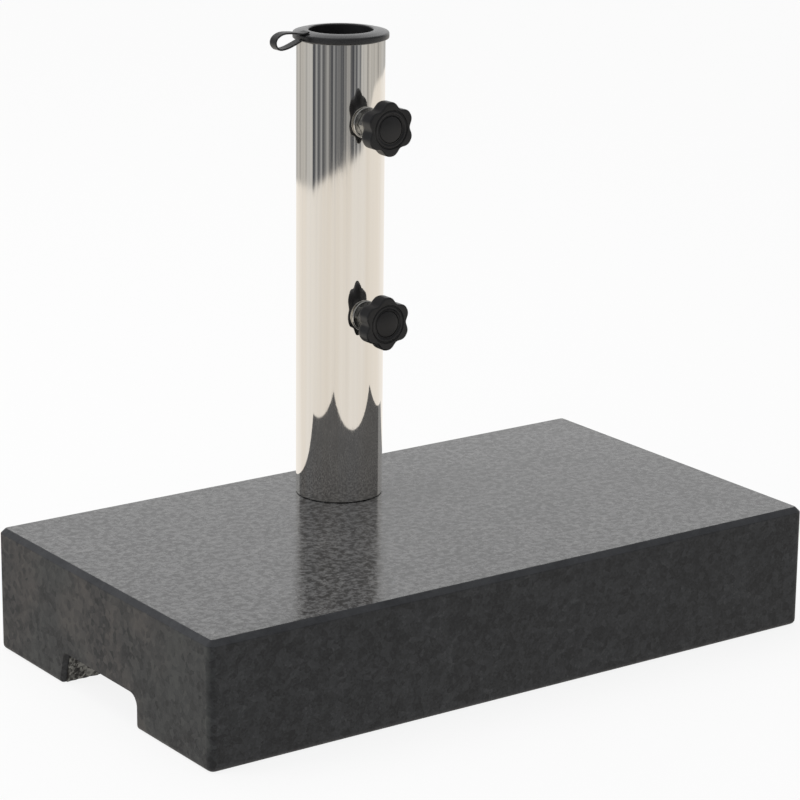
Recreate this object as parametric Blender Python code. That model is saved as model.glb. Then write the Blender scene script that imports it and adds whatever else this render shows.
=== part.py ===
"""A parasol base: a granite block, a bolted steel tube, two clamp screws and a reducer collar.

Metres, +Z up. The origin is the middle of the block's underside. X runs along the block's
long side, and the clamp screws face -Y.
"""
import math

import bmesh
import bpy
from mathutils import Matrix, Vector

GAP = 0.0003  # left between faces that touch on the real object
OVERSHOOT = 0.002  # how far a cutter runs past the face that it opens

# Granite block
BLOCK_LENGTH = 0.450
BLOCK_WIDTH = 0.250
BLOCK_HEIGHT = 0.080
BLOCK_EDGE = 0.0035  # rounding along its edges
GRIP_WIDTH = 0.087  # hand grip in each end, across its ceiling
GRIP_HEIGHT = 0.022
GRIP_DEPTH = 0.045
GRIP_CORNER = 0.008  # fillet on the grip's straight side
GRIP_HEEL = 0.003  # fillet on its slanted side
GRIP_FLARE = 0.006  # how far the slanted side leans out on its way down

# Tube, and the disc welded into its foot
TUBE_SETBACK = 0.055  # its axis from the block's back face
TUBE_SHIFT = -0.004  # its axis from the block's middle, along the block
TUBE_DIAMETER = 0.056
TUBE_WALL = 0.0015
TUBE_HEIGHT = 0.2966
DISC_THICKNESS = 0.010

# Bolt that holds the tube down, with its washers, in a recess under the block
BOLT_DIAMETER = 0.012
BOLT_HEAD_FLATS = 0.019
BOLT_HEAD_HEIGHT = 0.0075
BOLT_BELOW_SEAT = 0.0015  # its end stays this far below the disc's top face
RECESS_DEPTH = 0.024
RECESS_ROOM = 0.003  # left round the wide washer, to its wall
WIDE_WASHER_DIAMETER = 0.040
WIDE_WASHER_THICKNESS = 0.003
LOCK_WASHER_DIAMETER = 0.020
LOCK_WASHER_THICKNESS = 0.0025
LOCK_WASHER_SLOT = 0.0016

# Clamp screws: name, depth of the axis below the tube's top, turns backed out, angle of a lobe
CLAMPS = (
    ("lower", 0.1736, 0.0, 29.0),
    ("upper", 0.0494, 1.5, 31.0),
)
THREAD_PITCH = 0.00125
STUD_DIAMETER = 0.008
STUD_LENGTH = 0.030
STUD_HEAD_FLATS = 0.013
STUD_HEAD_HEIGHT = 0.0053
NUT_FLATS = 0.013
NUT_HEIGHT = 0.0065
CLAMP_WASHER_DIAMETER = 0.020
CLAMP_WASHER_THICKNESS = 0.0015
PAD_WALL = 0.0012  # in front of the stud's end and round it
PAD_SKIRT = 0.0015  # how far the pad reaches back round the stud

# Star knobs
KNOB_DIAMETER = 0.0343
KNOB_HEIGHT = 0.0170
KNOB_LOBES = 6
KNOB_SCALLOP = 0.0029  # depth of the hollows between the lobes
KNOB_SCALLOP_POWER = 1.5  # above 1 the lobes are broad and the hollows narrow
KNOB_EDGE = 0.0011
HUB_DIAMETER = 0.0155  # where the knob meets the nut
KNOB_FLARE = (  # height above the hub's end, and share of the way from the hub's radius to the knob's
    (0.0, 0.0),
    (0.0022, 0.09),
    (0.0034, 0.36),
    (0.0046, 0.69),
    (0.0066, 0.92),
    (0.0095, 1.0),
)
DISH_RIM = 0.00075  # flat land between the front edge's rounding and the shallow dish
DISH_DEPTH = 0.0007
CAP_LAP = 0.0004  # how far the cap reaches past the corners of the pocket behind it
CAP_THICKNESS = 0.0016
CAP_DOME = 0.0007
CAP_STEPS = 4

# Reducer collar with its pull strap
COLLAR_OVERHANG = 0.0024  # how far its rim stands out past the tube
COLLAR_FLANGE = 0.0041  # height of its rim
COLLAR_CROWN = 0.0015  # how much higher it is round the bore
COLLAR_EDGE = 0.0014
COLLAR_SLEEVE = 0.035
COLLAR_SKIRT = 0.028
COLLAR_WALL = 0.0022
COLLAR_CAVITY = 0.00145  # between the sleeve round the pole and the skirt in the tube
STRAP_WIDTH = 0.007
STRAP_THICKNESS = 0.0011
STRAP_LAP = 0.0045  # how far its upper end lies on the flange
STRAP_STEPS = 3  # points on the strap between two of its route's

ROUND_STEPS = 48
SMALL_STEPS = 24
LOBE_STEPS = 10  # points on the knob's outline for each lobe
ARC_STEPS = 2  # straight pieces in a fillet
SMOOTH_ANGLE = math.radians(35)

TUBE_Y = BLOCK_WIDTH / 2 - TUBE_SETBACK
TUBE_RADIUS = TUBE_DIAMETER / 2
TUBE_INNER = TUBE_RADIUS - TUBE_WALL
TUBE_FOOT = BLOCK_HEIGHT + GAP
TUBE_TOP = TUBE_FOOT + TUBE_HEIGHT
DISC_TOP = TUBE_FOOT + DISC_THICKNESS
CLAMP_WASHER_BACK = TUBE_RADIUS + GAP
NUT_BACK = CLAMP_WASHER_BACK + CLAMP_WASHER_THICKNESS + GAP
NUT_FRONT = NUT_BACK + NUT_HEIGHT
COLLAR_RIM = TUBE_RADIUS + COLLAR_OVERHANG
COLLAR_BORE = TUBE_INNER - GAP - 2 * COLLAR_WALL - COLLAR_CAVITY  # its radius
POCKET_FLATS = STUD_HEAD_FLATS + 2 * GAP  # hexagonal pocket that holds the stud's head
CAP_RADIUS = POCKET_FLATS / math.sqrt(3) + CAP_LAP
CAP_POCKET = CAP_THICKNESS + DISH_DEPTH + GAP  # depth of the cap's seat below the knob's front
STUD_SEAT = KNOB_HEIGHT - CAP_POCKET - GAP - STUD_HEAD_HEIGHT  # above the hub's end


def clear_scene():
    for leftover in list(bpy.data.objects):
        bpy.data.objects.remove(leftover, do_unlink=True)


def make_material(name, colour, roughness, metallic):
    material = bpy.data.materials.new(name)
    material.use_nodes = True
    shader = material.node_tree.nodes["Principled BSDF"]
    shader.inputs["Base Color"].default_value = (*colour, 1.0)
    shader.inputs["Roughness"].default_value = roughness
    shader.inputs["Metallic"].default_value = metallic
    material.diffuse_color = (*colour, 1.0)
    return material


def add_empty(name, location, rotation=(0.0, 0.0, 0.0)):
    empty = bpy.data.objects.new(name, None)
    empty.empty_display_size = 0.02
    empty.location = location
    empty.rotation_euler = rotation
    bpy.context.scene.collection.objects.link(empty)
    return empty


def add_object(name, shape, material=None, parent=None, location=(0.0, 0.0, 0.0)):
    """Turns a bmesh into an object, shaded smooth but for its sharp edges."""
    bmesh.ops.recalc_face_normals(shape, faces=shape.faces[:])
    mesh = bpy.data.meshes.new(name)
    shape.to_mesh(mesh)
    shape.free()
    mesh.shade_smooth()
    mesh.set_sharp_from_angle(angle=SMOOTH_ANGLE)
    made = bpy.data.objects.new(name, mesh)
    if material:
        mesh.materials.append(material)
    made.parent = parent
    made.location = location
    bpy.context.scene.collection.objects.link(made)
    return made


def combine(target, tool, operation="DIFFERENCE"):
    """Cuts, joins or trims the target with a tool, which itself isn't part of the model."""
    tool.hide_render = True
    tool.display_type = "WIRE"
    modifier = target.modifiers.new(operation.title(), "BOOLEAN")
    modifier.operation = operation
    modifier.object = tool


def rounded(corners, steps=ARC_STEPS):
    """An outline from (x, y, radius) corners: each corner that has a radius becomes an arc."""
    outline = []
    for index, (x, y, radius) in enumerate(corners):
        corner = Vector((x, y))
        if radius == 0:
            outline.append(corner)
            continue
        back = (Vector(corners[index - 1][:2]) - corner).normalized()
        ahead = (Vector(corners[(index + 1) % len(corners)][:2]) - corner).normalized()
        half = back.angle(ahead) / 2
        centre = corner + (back + ahead).normalized() * (radius / math.sin(half))
        first = corner + back * (radius / math.tan(half)) - centre
        last = corner + ahead * (radius / math.tan(half)) - centre
        turn = math.atan2(first.x * last.y - first.y * last.x, first.dot(last))
        for step in range(steps + 1):
            outline.append(centre + Matrix.Rotation(turn * step / steps, 2) @ first)
    return outline


def prism(outline, depth):
    """A bmesh of the outline in the XY plane, extruded along +Z."""
    shape = bmesh.new()
    corners = [shape.verts.new((x, y, 0.0)) for x, y in outline]
    face = shape.faces.new(corners)
    raised = bmesh.ops.extrude_face_region(shape, geom=[face])["geom"]
    moved = [item for item in raised if isinstance(item, bmesh.types.BMVert)]
    bmesh.ops.translate(shape, verts=moved, vec=(0.0, 0.0, depth))
    return shape


def turned(section, steps):
    """A bmesh of the closed (radius, height) section, spun round the Z axis."""
    shape = bmesh.new()
    corners = [shape.verts.new((radius, 0.0, height)) for radius, height in section]
    sides = [shape.edges.new((corners[index - 1], corners[index])) for index in range(len(corners))]
    bmesh.ops.spin(
        shape,
        geom=corners + sides,
        cent=(0.0, 0.0, 0.0),
        axis=(0.0, 0.0, 1.0),
        angle=math.tau,
        steps=steps,
        use_merge=True,
    )
    bmesh.ops.remove_doubles(shape, verts=shape.verts[:], dist=1e-6)
    bmesh.ops.dissolve_degenerate(shape, edges=shape.edges[:], dist=1e-6)
    on_axis = [edge for edge in shape.edges if edge.is_wire or not edge.link_faces]
    bmesh.ops.delete(shape, geom=on_axis, context="EDGES")
    return shape


def cylinder(radius, low, high, steps=SMALL_STEPS):
    """A bmesh of a plain round bar on the Z axis."""
    shape = bmesh.new()
    middle = Matrix.Translation((0.0, 0.0, (low + high) / 2))
    bmesh.ops.create_cone(
        shape,
        cap_ends=True,
        segments=steps,
        radius1=radius,
        radius2=radius,
        depth=high - low,
        matrix=middle,
    )
    return shape


def hexagon(flats):
    """The outline of a hexagon, from its width across flats."""
    corner = flats / math.sqrt(3)
    return [(corner * math.cos(math.tau * k / 6), corner * math.sin(math.tau * k / 6)) for k in range(6)]


def ring_section(inner, outer, low, high, edge):
    """The section of a flat ring whose outer edges are rounded."""
    return rounded([(inner, low, 0), (outer, low, edge), (outer, high, edge), (inner, high, 0)], 1)


def add_hex_trim(name, flats, low, high, parent, location):
    """A turned tool that chamfers the outer corners of a hexagonal head or nut."""
    corner = flats / math.sqrt(3)
    fall = (corner - flats / 2) * math.tan(math.radians(30))
    reach = corner + OVERSHOOT
    drop = fall + OVERSHOOT * math.tan(math.radians(30))
    section = [
        (0.0, low - OVERSHOOT),
        (reach, low - OVERSHOOT),
        (reach, high - drop),
        (flats / 2, high),
        (0.0, high),
    ]
    return add_object(name, turned(section, SMALL_STEPS), None, parent, location)


def add_grip_cutter(name, turn):
    """The hand grip's opening: a slot from the floor up, with one slanted side, in one end."""
    side = GRIP_WIDTH / 2
    floor = -OVERSHOOT
    lean = GRIP_FLARE * (GRIP_HEIGHT + OVERSHOOT) / GRIP_HEIGHT
    corners = [
        (-side, floor, 0),
        (side + lean, floor, 0),
        (side, GRIP_HEIGHT, GRIP_HEEL),
        (-side, GRIP_HEIGHT, GRIP_CORNER),
    ]
    shape = prism(rounded(corners, 2 * ARC_STEPS), GRIP_DEPTH + OVERSHOOT)
    to_end = Matrix.Translation((-BLOCK_LENGTH / 2 - OVERSHOOT, 0.0, 0.0))
    stand_up = Matrix(((0, 0, 1, 0), (1, 0, 0, 0), (0, 1, 0, 0), (0, 0, 0, 1)))
    bmesh.ops.transform(shape, matrix=Matrix.Rotation(turn, 4, "Z") @ to_end @ stand_up, verts=shape.verts[:])
    return add_object(name, shape)


def add_block(material, bolt_axis):
    shape = bmesh.new()
    size = Matrix.Diagonal((BLOCK_LENGTH, BLOCK_WIDTH, BLOCK_HEIGHT, 1.0))
    lift = Matrix.Translation((0.0, 0.0, BLOCK_HEIGHT / 2))
    bmesh.ops.create_cube(shape, size=1.0, matrix=lift @ size)
    bmesh.ops.bevel(
        shape,
        geom=shape.edges[:],
        offset=BLOCK_EDGE,
        offset_type="OFFSET",
        segments=2,
        profile=0.5,
        affect="EDGES",
    )
    block = add_object("granite_block", shape, material)
    combine(block, add_grip_cutter("left_grip_cutter", 0.0))
    combine(block, add_grip_cutter("right_grip_cutter", math.pi))
    hole = cylinder(BOLT_DIAMETER / 2 + 0.001, -OVERSHOOT, BLOCK_HEIGHT + OVERSHOOT)
    combine(block, add_object("bolt_hole_cutter", hole, None, bolt_axis))
    recess = cylinder(WIDE_WASHER_DIAMETER / 2 + RECESS_ROOM, -OVERSHOOT, RECESS_DEPTH, ROUND_STEPS)
    combine(block, add_object("bolt_recess_cutter", recess, None, bolt_axis))


def add_tube(material, bolt_axis, clamp_axes):
    edge = TUBE_WALL / 4
    section = rounded(
        [
            (TUBE_INNER, TUBE_FOOT, edge),
            (TUBE_RADIUS, TUBE_FOOT, edge),
            (TUBE_RADIUS, TUBE_TOP, edge),
            (TUBE_INNER, TUBE_TOP, edge),
        ],
        1,
    )
    tube = add_object("upright_tube", turned(section, ROUND_STEPS), material, bolt_axis)
    for name, clamp_axis in clamp_axes:
        hole = cylinder(STUD_DIAMETER / 2 + 2 * GAP, TUBE_INNER / 2, TUBE_RADIUS + OVERSHOOT)
        combine(tube, add_object(name + "_hole_cutter", hole, None, clamp_axis))


def add_foot_disc(material, bolt_axis):
    inner = BOLT_DIAMETER / 2 + GAP
    section = ring_section(inner, TUBE_INNER - GAP, TUBE_FOOT, DISC_TOP, DISC_THICKNESS / 20)
    add_object("foot_disc", turned(section, ROUND_STEPS), material, bolt_axis)


def add_bolt(material, bolt_axis):
    """The hex bolt, and the two washers between its head and the roof of the recess."""
    wide_top = RECESS_DEPTH - GAP
    wide_low = wide_top - WIDE_WASHER_THICKNESS
    lock_top = wide_low - GAP
    lock_low = lock_top - LOCK_WASHER_THICKNESS
    head_top = lock_low - GAP
    head_low = head_top - BOLT_HEAD_HEIGHT
    hole = BOLT_DIAMETER / 2 + GAP
    wide = ring_section(hole, WIDE_WASHER_DIAMETER / 2, wide_low, wide_top, WIDE_WASHER_THICKNESS / 6)
    add_object("wide_washer", turned(wide, ROUND_STEPS), material, bolt_axis)
    lock = ring_section(hole, LOCK_WASHER_DIAMETER / 2, lock_low, lock_top, LOCK_WASHER_THICKNESS / 8)
    lock_washer = add_object("lock_washer", turned(lock, SMALL_STEPS), material, bolt_axis)
    slot = bmesh.new()
    middle = Matrix.Translation((LOCK_WASHER_DIAMETER / 2, 0.0, (lock_low + lock_top) / 2))
    lean = Matrix.Rotation(math.radians(20), 4, "X")
    size = (LOCK_WASHER_DIAMETER, LOCK_WASHER_SLOT, 3 * LOCK_WASHER_THICKNESS, 1.0)
    bmesh.ops.create_cube(slot, size=1.0, matrix=middle @ lean @ Matrix.Diagonal(size))
    combine(lock_washer, add_object("lock_washer_slot_cutter", slot, None, bolt_axis))
    shape = prism(hexagon(BOLT_HEAD_FLATS), BOLT_HEAD_HEIGHT)
    bolt = add_object("tube_bolt", shape, material, bolt_axis, (0.0, 0.0, head_low))
    place = (0.0, 0.0, head_top)
    trim = add_hex_trim("tube_bolt_trim", BOLT_HEAD_FLATS, 0.0, BOLT_HEAD_HEIGHT, bolt_axis, place)
    trim.rotation_euler = (math.pi, 0.0, 0.0)
    combine(bolt, trim, "INTERSECT")
    shank_end = DISC_TOP - BOLT_BELOW_SEAT
    edge = BOLT_DIAMETER / 12
    inside_head = head_top - BOLT_HEAD_HEIGHT / 2
    section = [
        (0.0, inside_head),
        (BOLT_DIAMETER / 2, inside_head),
        (BOLT_DIAMETER / 2, shank_end - edge),
        (BOLT_DIAMETER / 2 - edge, shank_end),
        (0.0, shank_end),
    ]
    combine(bolt, add_object("tube_bolt_shank", turned(section, SMALL_STEPS), None, bolt_axis), "UNION")


def add_collar(material, collar_axis):
    """A moulded ring with an inner sleeve for the pole and an outer skirt that fills the tube."""
    skirt = TUBE_INNER - GAP
    tip = COLLAR_WALL / 3
    section = rounded(
        [
            (COLLAR_BORE, -COLLAR_SLEEVE, tip),
            (COLLAR_BORE + COLLAR_WALL, -COLLAR_SLEEVE, tip),
            (COLLAR_BORE + COLLAR_WALL, 0.0, 0),
            (skirt - COLLAR_WALL, 0.0, 0),
            (skirt - COLLAR_WALL, -COLLAR_SKIRT, tip),
            (skirt, -COLLAR_SKIRT, tip),
            (skirt, 0.0, 0),
            (COLLAR_RIM, 0.0, COLLAR_EDGE / 2),
            (COLLAR_RIM, COLLAR_FLANGE, COLLAR_EDGE),
            (COLLAR_BORE, COLLAR_FLANGE + COLLAR_CROWN, COLLAR_EDGE),
        ]
    )
    add_object("reducer_collar", turned(section, ROUND_STEPS), material, collar_axis)


def strap_route():
    """Points along the strap's middle line, as (distance out from the tube's axis, height)."""
    rim = COLLAR_RIM
    lying = COLLAR_FLANGE + GAP + STRAP_THICKNESS / 2
    climb = COLLAR_CROWN * STRAP_LAP / (rim - COLLAR_BORE)
    start = GAP + STRAP_THICKNESS
    return [
        Vector((rim - STRAP_LAP, lying + climb)),
        Vector((rim, lying)),
        Vector((rim + 0.0066, lying + 0.0010)),
        Vector((rim + 0.0140, lying + 0.0012)),
        Vector((rim + 0.0189, lying - 0.0012)),
        Vector((rim + 0.0200, lying - 0.0050)),
        Vector((rim + 0.0172, lying - 0.0083)),
        Vector((rim + 0.0120, lying - 0.0081)),
        Vector((rim + 0.0066, lying - 0.0064)),
        Vector((rim + start, lying - 0.0043)),
    ]


def smooth_line(route, steps):
    """A smooth curve through every point of the route, by Catmull and Rom's formula."""
    ends = [2 * route[0] - route[1], *route, 2 * route[-1] - route[-2]]
    line = []
    for a, b, c, d in zip(ends, ends[1:], ends[2:], ends[3:]):
        for step in range(steps):
            t = step / steps
            line.append(
                (2 * b + (c - a) * t + (2 * a - 5 * b + 4 * c - d) * t**2 + (3 * b - a - 3 * c + d) * t**3) / 2
            )
    return [*line, route[-1]]


def add_strap(material, collar_axis):
    """The flat strap that loops out of the collar's rim and back, to pull the collar out by."""
    line = smooth_line(strap_route(), STRAP_STEPS)
    over = []
    under = []
    for index, point in enumerate(line):
        along = (line[min(index + 1, len(line) - 1)] - line[max(index - 1, 0)]).normalized()
        across = Vector((-along.y, along.x)) * STRAP_THICKNESS / 2
        over.append(point + across)
        under.append(point - across)
    shape = prism(over + under[::-1], STRAP_WIDTH)
    stand_up = Matrix(((-1, 0, 0, 0), (0, 0, 1, -STRAP_WIDTH / 2), (0, 1, 0, 0), (0, 0, 0, 1)))
    bmesh.ops.transform(shape, matrix=stand_up, verts=shape.verts[:])
    add_object("collar_strap", shape, material, collar_axis)


def add_clamp_nut(name, material, clamp_axis):
    """The hex nut on its washer, both welded to the tube."""
    hole = STUD_DIAMETER / 2 + GAP
    section = ring_section(
        hole, CLAMP_WASHER_DIAMETER / 2, CLAMP_WASHER_BACK, NUT_BACK - GAP, CLAMP_WASHER_THICKNESS / 4
    )
    add_object(name + "_clamp_washer", turned(section, SMALL_STEPS), material, clamp_axis)
    place = (0.0, 0.0, NUT_BACK)
    nut = add_object(name + "_clamp_nut", prism(hexagon(NUT_FLATS), NUT_HEIGHT), material, clamp_axis, place)
    combine(nut, add_hex_trim(name + "_nut_trim", NUT_FLATS, 0.0, NUT_HEIGHT, clamp_axis, place), "INTERSECT")
    thread = cylinder(hole, NUT_BACK - OVERSHOOT, NUT_FRONT + OVERSHOOT)
    combine(nut, add_object(name + "_nut_hole_cutter", thread, None, clamp_axis))


def star_ring(shape, radius, height, lobe_angle):
    """One ring of vertices: a circle at the hub's radius, the full star at the knob's."""
    hub = HUB_DIAMETER / 2
    scallop = KNOB_SCALLOP * (radius - hub) / (KNOB_DIAMETER / 2 - hub)
    ring = []
    count = KNOB_LOBES * LOBE_STEPS
    for step in range(count):
        angle = math.tau * step / count
        hollow = (1 - math.cos(KNOB_LOBES * angle)) / 2
        out = radius - scallop * hollow**KNOB_SCALLOP_POWER
        turn = angle + lobe_angle
        ring.append(shape.verts.new((out * math.cos(turn), out * math.sin(turn), height)))
    return ring


def knob_levels():
    """(radius, height) of each ring, from the hub's end up the flare and over the front edge."""
    hub = HUB_DIAMETER / 2
    full = KNOB_DIAMETER / 2
    levels = [(hub + (full - hub) * share, height) for height, share in KNOB_FLARE]
    for degrees in (0, 45, 90):
        lean = math.radians(degrees)
        inset = KNOB_EDGE * (1 - math.cos(lean))
        levels.append((full - inset, KNOB_HEIGHT - KNOB_EDGE * (1 - math.sin(lean))))
    return levels


def add_knob(name, lobe_angle, material, screw_axis):
    """The star knob: a lobed grip flared out of a round hub, with a dish, a cap seat and a hex pocket."""
    shape = bmesh.new()
    rings = [star_ring(shape, radius, height, math.radians(lobe_angle)) for radius, height in knob_levels()]
    shape.faces.new(rings[0])
    shape.faces.new(rings[-1])
    for lower, upper in zip(rings, rings[1:]):
        for index, corner in enumerate(lower):
            shape.faces.new((lower[index - 1], corner, upper[index], upper[index - 1]))
    knob = add_object(name + "_knob", shape, material, screw_axis)
    cap_seat = KNOB_HEIGHT - CAP_POCKET
    dish_floor = KNOB_HEIGHT - DISH_DEPTH
    dish_radius = KNOB_DIAMETER / 2 - KNOB_SCALLOP - KNOB_EDGE - DISH_RIM - DISH_DEPTH
    dish = [
        (0.0, cap_seat),
        (CAP_RADIUS + GAP, cap_seat),
        (CAP_RADIUS + GAP, dish_floor),
        (dish_radius, dish_floor),
        (dish_radius + DISH_DEPTH + OVERSHOOT, KNOB_HEIGHT + OVERSHOOT),
        (0.0, KNOB_HEIGHT + OVERSHOOT),
    ]
    combine(knob, add_object(name + "_knob_dish_cutter", turned(dish, SMALL_STEPS), None, screw_axis))
    pocket = prism(hexagon(POCKET_FLATS), KNOB_HEIGHT)
    place = (0.0, 0.0, STUD_SEAT - GAP)
    combine(knob, add_object(name + "_knob_pocket_cutter", pocket, None, screw_axis, place))
    bore = cylinder(STUD_DIAMETER / 2 + GAP, -OVERSHOOT, STUD_SEAT + OVERSHOOT)
    combine(knob, add_object(name + "_knob_bore_cutter", bore, None, screw_axis))


def add_knob_cap(name, material, screw_axis):
    """The slightly domed disc that closes the knob's front over the stud's head."""
    low = KNOB_HEIGHT - CAP_POCKET + GAP
    ball = (CAP_RADIUS**2 + CAP_DOME**2) / (2 * CAP_DOME)
    section = [(0.0, low), (CAP_RADIUS, low)]
    for step in range(CAP_STEPS + 1):
        out = CAP_RADIUS * (1 - step / CAP_STEPS)
        section.append((out, low + CAP_THICKNESS + math.sqrt(ball**2 - out**2) - ball + CAP_DOME))
    add_object(name + "_knob_cap", turned(section, SMALL_STEPS), material, screw_axis)


def add_stud(name, material, screw_axis):
    """The hex bolt whose head is held in the knob and whose thread runs in the nut."""
    place = (0.0, 0.0, STUD_SEAT)
    stud = add_object(
        name + "_clamp_stud", prism(hexagon(STUD_HEAD_FLATS), STUD_HEAD_HEIGHT), material, screw_axis, place
    )
    trim = add_hex_trim(name + "_stud_trim", STUD_HEAD_FLATS, 0.0, STUD_HEAD_HEIGHT, screw_axis, place)
    combine(stud, trim, "INTERSECT")
    edge = STUD_DIAMETER / 10
    tip = STUD_SEAT - STUD_LENGTH
    section = [
        (0.0, tip),
        (STUD_DIAMETER / 2 - edge, tip),
        (STUD_DIAMETER / 2, tip + edge),
        (STUD_DIAMETER / 2, STUD_SEAT + STUD_HEAD_HEIGHT / 2),
        (0.0, STUD_SEAT + STUD_HEAD_HEIGHT / 2),
    ]
    combine(stud, add_object(name + "_stud_shank", turned(section, SMALL_STEPS), None, screw_axis), "UNION")


def add_pad(name, material, screw_axis):
    """The plastic pad that caps the stud's end and bears on the pole."""
    tip = STUD_SEAT - STUD_LENGTH
    face = tip - GAP - PAD_WALL
    skirt = tip + PAD_SKIRT
    hole = STUD_DIAMETER / 2 + GAP
    radius = hole + PAD_WALL
    section = [
        (0.0, face),
        (radius - PAD_WALL / 2, face),
        (radius, face + PAD_WALL / 2),
        (radius, skirt),
        (hole, skirt),
        (hole, tip - GAP),
        (0.0, tip - GAP),
    ]
    add_object(name + "_pressure_pad", turned(section, SMALL_STEPS), material, screw_axis)


def add_clamp(name, turns_out, lobe_angle, clamp_axis, steel, plastic, nylon):
    """One clamp screw. Its own frame has +Z pointing out of the tube, through the knob."""
    hub_end = NUT_FRONT + GAP + turns_out * THREAD_PITCH
    screw_axis = add_empty(name + "_screw_axis", (0.0, 0.0, hub_end))
    screw_axis.parent = clamp_axis
    add_clamp_nut(name, steel, clamp_axis)
    add_stud(name, steel, screw_axis)
    add_knob(name, lobe_angle, plastic, screw_axis)
    add_knob_cap(name, plastic, screw_axis)
    add_pad(name, nylon, screw_axis)


def main():
    clear_scene()
    granite = make_material("polished_granite", (0.045, 0.045, 0.046), 0.25, 0.0)
    mirror_steel = make_material("polished_stainless", (0.72, 0.71, 0.69), 0.06, 1.0)
    zinc = make_material("zinc_plated_steel", (0.62, 0.62, 0.60), 0.32, 1.0)
    plastic = make_material("black_plastic", (0.018, 0.018, 0.019), 0.42, 0.0)
    soft_plastic = make_material("soft_black_plastic", (0.025, 0.025, 0.026), 0.5, 0.0)
    nylon = make_material("white_nylon", (0.75, 0.74, 0.70), 0.5, 0.0)

    bolt_axis = add_empty("bolt_axis", (TUBE_SHIFT, TUBE_Y, 0.0))
    collar_axis = add_empty("collar_axis", (TUBE_SHIFT, TUBE_Y, TUBE_TOP + GAP))
    clamp_axes = []
    for name, depth, _, _ in CLAMPS:
        place = (TUBE_SHIFT, TUBE_Y, TUBE_TOP - depth)
        clamp_axes.append((name, add_empty(name + "_clamp_axis", place, (math.pi / 2, 0.0, 0.0))))

    add_block(granite, bolt_axis)
    add_tube(mirror_steel, bolt_axis, clamp_axes)
    add_foot_disc(zinc, bolt_axis)
    add_bolt(zinc, bolt_axis)
    add_collar(plastic, collar_axis)
    add_strap(soft_plastic, collar_axis)
    for (name, _, turns_out, lobe_angle), (_, clamp_axis) in zip(CLAMPS, clamp_axes):
        add_clamp(name, turns_out, lobe_angle, clamp_axis, zinc, plastic, nylon)


main()
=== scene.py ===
import math

import bmesh
import bpy
from mathutils import Matrix, Vector, noise


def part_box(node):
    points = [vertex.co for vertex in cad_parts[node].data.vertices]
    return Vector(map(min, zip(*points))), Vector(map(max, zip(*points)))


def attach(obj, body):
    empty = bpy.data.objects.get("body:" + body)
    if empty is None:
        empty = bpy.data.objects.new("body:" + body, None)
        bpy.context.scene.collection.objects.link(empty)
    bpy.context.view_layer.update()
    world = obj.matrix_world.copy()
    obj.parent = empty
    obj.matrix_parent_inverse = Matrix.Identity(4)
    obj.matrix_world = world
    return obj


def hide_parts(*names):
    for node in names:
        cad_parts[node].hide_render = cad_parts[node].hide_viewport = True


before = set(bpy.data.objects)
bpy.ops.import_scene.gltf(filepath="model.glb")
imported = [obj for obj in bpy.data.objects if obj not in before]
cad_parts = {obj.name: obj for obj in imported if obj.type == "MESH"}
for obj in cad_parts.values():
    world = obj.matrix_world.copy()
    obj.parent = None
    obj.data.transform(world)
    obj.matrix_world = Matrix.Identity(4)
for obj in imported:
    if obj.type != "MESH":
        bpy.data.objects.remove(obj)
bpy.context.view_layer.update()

gap = 0.0003  # the CAD leaves this between pieces that touch


# a Value wraps a shader socket, and arithmetic on it adds Math nodes
class Value:
    def __init__(self, maker, socket):
        self.maker = maker
        self.socket = socket

    def run(self, operation, *inputs):
        return self.maker.node("ShaderNodeMath", {"operation": operation}, dict(enumerate(inputs)))

    def __add__(self, other):
        return self.run("ADD", self, other)

    def __radd__(self, other):
        return self.run("ADD", other, self)

    def __sub__(self, other):
        return self.run("SUBTRACT", self, other)

    def __rsub__(self, other):
        return self.run("SUBTRACT", other, self)

    def __mul__(self, other):
        return self.run("MULTIPLY", self, other)

    def __rmul__(self, other):
        return self.run("MULTIPLY", other, self)

    def __truediv__(self, other):
        return self.run("DIVIDE", self, other)

    def __pow__(self, other):
        return self.run("POWER", self, other)

    def __abs__(self):
        return self.run("ABSOLUTE", self)

    def between(self, low, high):  # 0 below low, 1 above high, smooth in between
        settings = {"interpolation_type": "SMOOTHSTEP"}
        return self.maker.node("ShaderNodeMapRange", settings, {0: self, 1: low, 2: high})


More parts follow.
